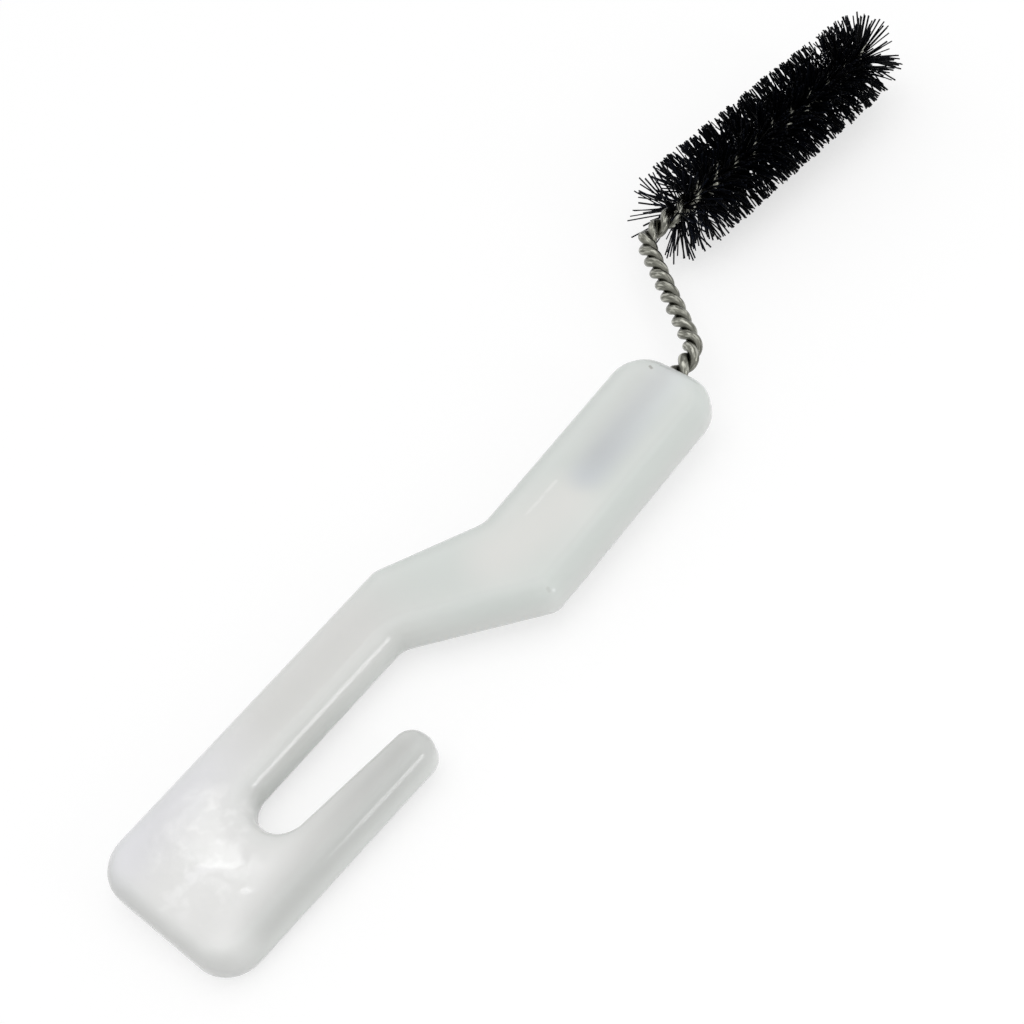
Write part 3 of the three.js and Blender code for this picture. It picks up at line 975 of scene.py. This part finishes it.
def strand_tree(material):
    """Winds a round strand about a route, tightly at first and slower where it holds filaments."""
    inputs = {
        GEOMETRY: ["Route"],
        WHOLE: ["Sides"],
        FLOAT: ["Diameter", "Bare Pitch", "Brush Pitch", "Brush Start", "Parting", "Spread", "Phase"],
    }
    outputs = {GEOMETRY: ["Strand"]}
    tree, nodes, given, result = new_tree("Twisted strand", "GeometryNodeTree", inputs, outputs)
    curve = nodes.node("GeometryNodeMeshToCurve", {0: given["Route"]}).outputs[0]
    spline = nodes.node("GeometryNodeSplineParameter").outputs
    outward, reach = strand_offset(nodes, given, spline["Length"])
    route = captured(nodes, curve, {"Outward": ("VECTOR", outward), "Distance": ("FLOAT", spline["Length"])})
    ring = circle(nodes, given["Sides"], nodes.times(given["Diameter"], 0.5))
    profile = captured(nodes, ring, {"Around": ("FLOAT", spline["Factor"])})
    wound = moved(nodes, route[0], nodes.scaled(route["Outward"], reach))
    tube = swept(nodes, wound, profile[0])

    around = nodes.times(profile["Around"], 2 * math.pi)
    stretched = nodes.times(route["Distance"], GRAIN_STRETCH)
    grain = nodes.joined(nodes.math("COSINE", around), nodes.math("SINE", around), stretched)
    normal = nodes.node("GeometryNodeInputNormal").outputs[0]
    facing = nodes.vector("DOT_PRODUCT", normal, route["Outward"])
    tube = stored(nodes, tube, "grain", "FLOAT_VECTOR", grain)
    # Where the strand faces the other one, for the grime and painted shade in the grooves.
    tube = stored(nodes, tube, "groove", "FLOAT", nodes.ramp(facing, *GROOVE_FADE))
    finish_tree(nodes, tube, material, result["Strand"])
    return tree


# Bristles

FILAMENT_SIDES = 4
FILAMENT_STEPS = 5
FAN_ANGLE = math.radians(53)
LEAN_JITTER = math.radians(4)
END_JITTER = math.radians(32)
LEAST_REACH = 0.95
LEAST_WIDTH = 0.8
MOST_WIDTH = 1.15
TIP_BOW = 0.4 * MM
BASE_THINNING = 0.74
SECTION_SEED_STEP = 100


def filament(nodes, thickness):
    """One filament of length 1 along Z, a little bowed, with its share of the way to the tip."""
    line = nodes.node("GeometryNodeCurvePrimitiveLine", {"End": tuple(UP)}).outputs[0]
    points = nodes.node("GeometryNodeResampleCurve", {"Curve": line, "Count": FILAMENT_STEPS}).outputs[0]
    part = nodes.node("GeometryNodeSplineParameter").outputs["Factor"]
    straight = captured(nodes, points, {"Along": ("FLOAT", part)})
    bow = nodes.times(nodes.times(part, part), TIP_BOW)
    bent = moved(nodes, straight[0], nodes.joined(bow, 0.0, 0.0))
    tube = swept(nodes, bent, circle(nodes, FILAMENT_SIDES, nodes.times(thickness, 0.5)))
    return stored(nodes, tube, "along", "FLOAT", straight["Along"])


def filament_angle(nodes, given, index, distance, stray):
    """Angle of a filament round the core: every second one leaves the twist on the other side."""
    wound = nodes.times(nodes.over(distance, given["Pitch"]), -2 * math.pi)
    side = nodes.times(nodes.math("MODULO", index, 2.0), math.pi)
    angle = nodes.plus(nodes.plus(given["Start Angle"], wound), side)
    return nodes.plus(angle, nodes.times(stray, FAN_ANGLE))


def filament_lean(nodes, given, distance, stray):
    """Lean of a filament along the core: back at the base and ahead at the tip, where it strays most."""
    splay_from = nodes.minus(given["Brush Length"], given["Splay Length"])
    lean = nodes.plus(
        nodes.ramp(distance, 0.0, given["Splay Length"], -1.0, 0.0),
        nodes.ramp(distance, splay_from, given["Brush Length"]),
    )
    most = nodes.plus(nodes.times(nodes.math("ABSOLUTE", lean), END_JITTER), LEAN_JITTER)
    return nodes.plus(nodes.times(lean, given["Splay"]), nodes.times(most, stray))


def filament_reach(nodes, given, distance, cut):
    """Length of a filament, of which a part is kept."""
    part = nodes.over(distance, given["Brush Length"])
    taper = nodes.minus(given["Reach at Tip"], given["Reach at Base"])
    full = nodes.plus(given["Reach at Base"], nodes.times(taper, part))
    return nodes.times(full, cut)


def bristle_tree(material):
    """Filaments that leave the twist on both sides, in a double spiral that is splayed at its ends."""
    inputs = {
        GEOMETRY: ["Mesh"],
        WHOLE: ["Ends", "Seed"],
        POINT: ["Brush Start", "Axis"],
        FLOAT: [
            "Thinning", "From", "Length", "Brush Length", "Start Angle", "Pitch", "Reach at Base",
            "Reach at Tip", "Splay", "Splay Length", "Thickness",
        ],
    }
    outputs = {GEOMETRY: ["Bristles"]}
    tree, nodes, given, result = new_tree("Bristle section", "GeometryNodeTree", inputs, outputs)

    def drawn(low, high, step):
        """A random number for each filament. Each use has a step of its own past the seed."""
        return nodes.random(low, high, nodes.plus(given["Seed"], step))

    index = nodes.node("GeometryNodeInputIndex").outputs[0]
    even = nodes.over(nodes.plus(index, drawn(0.0, 1.0, 1)), given["Ends"])
    thinned = nodes.math("POWER", even, given["Thinning"])
    distance = nodes.plus(given["From"], nodes.times(thinned, given["Length"]))
    fan = nodes.plus(drawn(-1.0, 1.0, 2), drawn(-1.0, 1.0, 3))
    angle = filament_angle(nodes, given, index, distance, fan)
    lean = filament_lean(nodes, given, distance, drawn(-1.0, 1.0, 4))
    reach = filament_reach(nodes, given, distance, drawn(LEAST_REACH, 1.0, 5))

    left = nodes.vector("CROSS_PRODUCT", tuple(UP), given["Axis"])
    radial = nodes.turned(left, tuple(UP), angle)
    direction = nodes.turned(radial, given["Axis"], lean)
    aligned = nodes.node("FunctionNodeAlignRotationToVector", {"Vector": direction}, axis="Z").outputs[0]
    roll = {"Axis": tuple(UP), "Angle": drawn(0.0, 2 * math.pi, 6)}
    rolled = nodes.node("FunctionNodeAxisAngleToRotation", roll).outputs[0]
    both = {"Rotation": aligned, "Rotate By": rolled}
    rotation = nodes.node("FunctionNodeRotateRotation", both, rotation_space="LOCAL").outputs[0]

    centre = nodes.vector("ADD", given["Brush Start"], nodes.scaled(given["Axis"], distance))
    width = drawn(LEAST_WIDTH, MOST_WIDTH, 7)
    instances = {
        "Points": nodes.node("GeometryNodePoints", {"Count": given["Ends"], "Position": centre}).outputs[0],
        "Instance": filament(nodes, given["Thickness"]),
        "Rotation": rotation,
        "Scale": nodes.joined(width, width, reach),
    }
    placed = nodes.node("GeometryNodeInstanceOnPoints", instances).outputs[0]
    placed = stored(nodes, placed, "tone", "FLOAT", drawn(0.0, 1.0, 8), "INSTANCE")
    finish_tree(nodes, placed, material, result["Bristles"])
    return tree


# Stage

FLOOR_SIDE = 6.0
FLOOR_GAP = 0.2 * MM
NEAREST_SEEN = 10 * MM

# Place, sides and power of each lamp
LAMPS = {
    "overhead_lamp": ((0.05, -0.05, 0.95), (1.0, 1.0), 2.0),
    "window_lamp": ((0.040, 0.384, 0.589), (0.016, 0.05), 0.022),
    "side_lamp": ((0.128, -0.66, 0.22), (0.125, 0.28), 0.4),
}


def floor_slope():
    """Where the heel is, and the fall of the floor from there: the lowest filaments touch it too."""
    heel = HANDLE_BOX[0].x
    falls = []
    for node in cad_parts:
        if node.startswith("bristles"):
            low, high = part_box(node)
            falls.append(-low.z / ((low.x + high.x) / 2 - heel))
    return heel, max(falls)


def seen_directly(nodes):
    """1 for rays from the camera, a reflection or a clear body, and 0 for light on other things."""
    path = nodes.node("ShaderNodeLightPath").outputs
    seen = nodes.math("MAXIMUM", path["Is Camera Ray"], path["Is Glossy Ray"])
    return nodes.math("MAXIMUM", seen, path["Is Transmission Ray"])


def floor_material(stage):
    """A matt floor that looks white, apart from the shadow on it."""
    material = bpy.data.materials.new("pale_floor")
    material.use_nodes = True
    material.node_tree.nodes.clear()
    nodes = Nodes(material.node_tree)
    seen = seen_directly(nodes)
    pale = nodes.blend(seen, rgba(stage.floor_colour), rgba(stage.seen_colour))
    matt = nodes.node("ShaderNodeBsdfDiffuse", {"Color": pale}).outputs[0]
    glow = nodes.node("ShaderNodeEmission", {"Strength": nodes.times(seen, stage.floor_glow)}).outputs[0]
    both = nodes.node("ShaderNodeAddShader", {0: matt, 1: glow}).outputs[0]
    nodes.node("ShaderNodeOutputMaterial", {"Surface": both})
    return material


def add_floor(stage):
    """The floor that the object lies on."""
    heel, slope = floor_slope()
    half = FLOOR_SIDE / 2
    corners = [(-half, -half), (half, -half), (half, half), (-half, half)]
    mesh = bpy.data.meshes.new("floor")
    mesh.from_pydata([(x, y, -(x - heel) * slope - FLOOR_GAP) for x, y in corners], [], [(0, 1, 2, 3)])
    mesh.materials.append(floor_material(stage))
    new_object("floor", mesh)


def add_world(scene, stage):
    """Even light from all round, which looks white where it is seen."""
    world = bpy.data.worlds.new("studio")
    world.use_nodes = True
    nodes = Nodes(world.node_tree)
    background = world.node_tree.nodes["Background"]
    background.inputs["Color"].default_value = (1.0, 1.0, 1.0, 1.0)
    seen = seen_directly(nodes)
    nodes.put(background.inputs["Strength"], nodes.math("MAXIMUM", seen, stage.ambient))
    scene.world = world


def aim(item, direction):
    """Turns a lamp or a camera to look along a direction."""
    item.rotation_mode = "QUATERNION"
    item.rotation_quaternion = direction.to_track_quat("-Z", "Y")


def add_lamp(name, place, sides, power):
    """A lamp that shines on the middle of the handle."""
    data = bpy.data.lights.new(name, "AREA")
    data.shape = "RECTANGLE"
    data.size, data.size_y = sides
    data.energy = power
    lamp = new_object(name, data)
    lamp.location = place
    aim(lamp, -place)


def add_camera(scene, stage):
    """The camera, at the set angles and distance from what it looks at."""
    data = bpy.data.cameras.new("camera")
    data.lens = stage.lens
    data.clip_start = NEAREST_SEEN
    flat = math.cos(stage.elevation)
    back = Vector((
        math.sin(stage.azimuth) * flat,
        -math.cos(stage.azimuth) * flat,
        math.sin(stage.elevation),
    ))
    camera = new_object("camera", data)
    camera.location = Vector((stage.target_x, stage.target_y, stage.target_z)) + back * stage.distance
    aim(camera, -back)
    camera.rotation_quaternion @= Quaternion(UP, stage.roll)
    scene.camera = camera


# Operators

class RAILBRUSH_OT_add_handle(bpy.types.Operator):
    """Build the moulded handle"""

    bl_idname = "railbrush.add_handle"
    bl_label = "Add Handle"

    def execute(self, context):
        scene = context.scene
        piece = make_handle(scene.railbrush_handle, scene.railbrush_wire)
        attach(piece, BODY)
        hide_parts("handle")
        return {"FINISHED"}


class RAILBRUSH_OT_add_wire(bpy.types.Operator):
    """Twist the two strands of the stem and the core"""

    bl_idname = "railbrush.add_wire"
    bl_label = "Add Wire"

    def execute(self, context):
        scene = context.scene
        wire = scene.railbrush_wire
        route = Route(scene.railbrush_handle, wire, scene.railbrush_bristles)
        tree = strand_tree(steel_material(wire))
        for letter, phase in (("a", 0.0), ("b", math.pi)):
            values = {
                "Diameter": wire.strand,
                "Bare Pitch": wire.bare_pitch,
                "Brush Pitch": wire.brush_pitch,
                "Brush Start": route.brush_start,
                "Parting": wire.parting,
                "Spread": wire.spread,
                "Phase": wire.twist_start + phase,
                "Sides": STRAND_SIDES,
            }
            piece = run_tree(f"strand_{letter}", route.mesh(), tree, values)
            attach(piece, BODY)
            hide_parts(f"wire_strand_{letter}")
        return {"FINISHED"}


class RAILBRUSH_OT_add_bristles(bpy.types.Operator):
    """Clamp the filaments along the core"""

    bl_idname = "railbrush.add_bristles"
    bl_label = "Add Bristles"

    def execute(self, context):
        scene = context.scene
        wire = scene.railbrush_wire
        bristles = scene.railbrush_bristles
        route = Route(scene.railbrush_handle, wire, bristles)
        start, heading = route.place(route.brush_start)
        tree = bristle_tree(nylon_material(bristles))
        section = bristles.length / bristles.sections
        for index in range(bristles.sections):
            thinning = 1.0 if index else BASE_THINNING
            values = {
                "Ends": round(bristles.ends * thinning),
                "Thinning": thinning,
                "From": index * section,
                "Length": section,
                "Brush Length": bristles.length,
                "Brush Start": start,
                "Axis": (math.cos(heading), math.sin(heading), 0.0),
                "Start Angle": twist_at_brush(route, wire) + math.pi / 2,
                "Pitch": wire.brush_pitch,
                "Reach at Base": bristles.radius_at_base,
                "Reach at Tip": bristles.radius_at_tip,
                "Splay": bristles.splay,
                "Splay Length": bristles.splay_length,
                "Thickness": bristles.filament,
                "Seed": SEED + SECTION_SEED_STEP * index,
            }
            name = f"filaments_{index + 1}"
            piece = run_tree(name, bpy.data.meshes.new(name), tree, values)
            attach(piece, BODY)
            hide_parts(f"bristles_{index + 1}")
        return {"FINISHED"}


class RAILBRUSH_OT_set_stage(bpy.types.Operator):
    """Set up the floor, the lamps and the camera"""

    bl_idname = "railbrush.set_stage"
    bl_label = "Set Stage"

    def execute(self, context):
        scene = context.scene
        stage = scene.railbrush_stage
        scene.view_settings.view_transform = "Standard"
        add_floor(stage)
        add_world(scene, stage)
        for name, (place, sides, power) in LAMPS.items():
            add_lamp(name, Vector(place), sides, power)
        add_camera(scene, stage)
        return {"FINISHED"}


# Panel

class RAILBRUSH_PT_sidebar(bpy.types.Panel):
    """Sizes, colours and steps of the brush"""

    bl_label = "Rail Brush"
    bl_space_type = "VIEW_3D"
    bl_region_type = "UI"
    bl_category = "Rail Brush"

    def draw(self, context):
        for operator, settings in STEPS.items():
            self.layout.operator(operator)
            group = getattr(context.scene, settings)
            for name in group.__annotations__:
                self.layout.prop(group, name)


# Registration

STEPS = {
    "railbrush.set_stage": "railbrush_stage",
    "railbrush.add_handle": "railbrush_handle",
    "railbrush.add_wire": "railbrush_wire",
    "railbrush.add_bristles": "railbrush_bristles",
}
SETTINGS = {
    "railbrush_stage": StageSettings,
    "railbrush_handle": HandleSettings,
    "railbrush_wire": WireSettings,
    "railbrush_bristles": BristleSettings,
}
CLASSES = (
    *SETTINGS.values(),
    RAILBRUSH_OT_set_stage,
    RAILBRUSH_OT_add_handle,
    RAILBRUSH_OT_add_wire,
    RAILBRUSH_OT_add_bristles,
    RAILBRUSH_PT_sidebar,
)


def register():
    for cls in CLASSES:
        bpy.utils.register_class(cls)
    for name, cls in SETTINGS.items():
        setattr(bpy.types.Scene, name, PointerProperty(type=cls))


def unregister():
    for name in SETTINGS:
        delattr(bpy.types.Scene, name)
    for cls in reversed(CLASSES):
        bpy.utils.unregister_class(cls)


def main():
    register()
    bpy.ops.railbrush.set_stage()
    bpy.ops.railbrush.add_handle()
    bpy.ops.railbrush.add_wire()
    bpy.ops.railbrush.add_bristles()


if __name__ == "__main__":
    main()
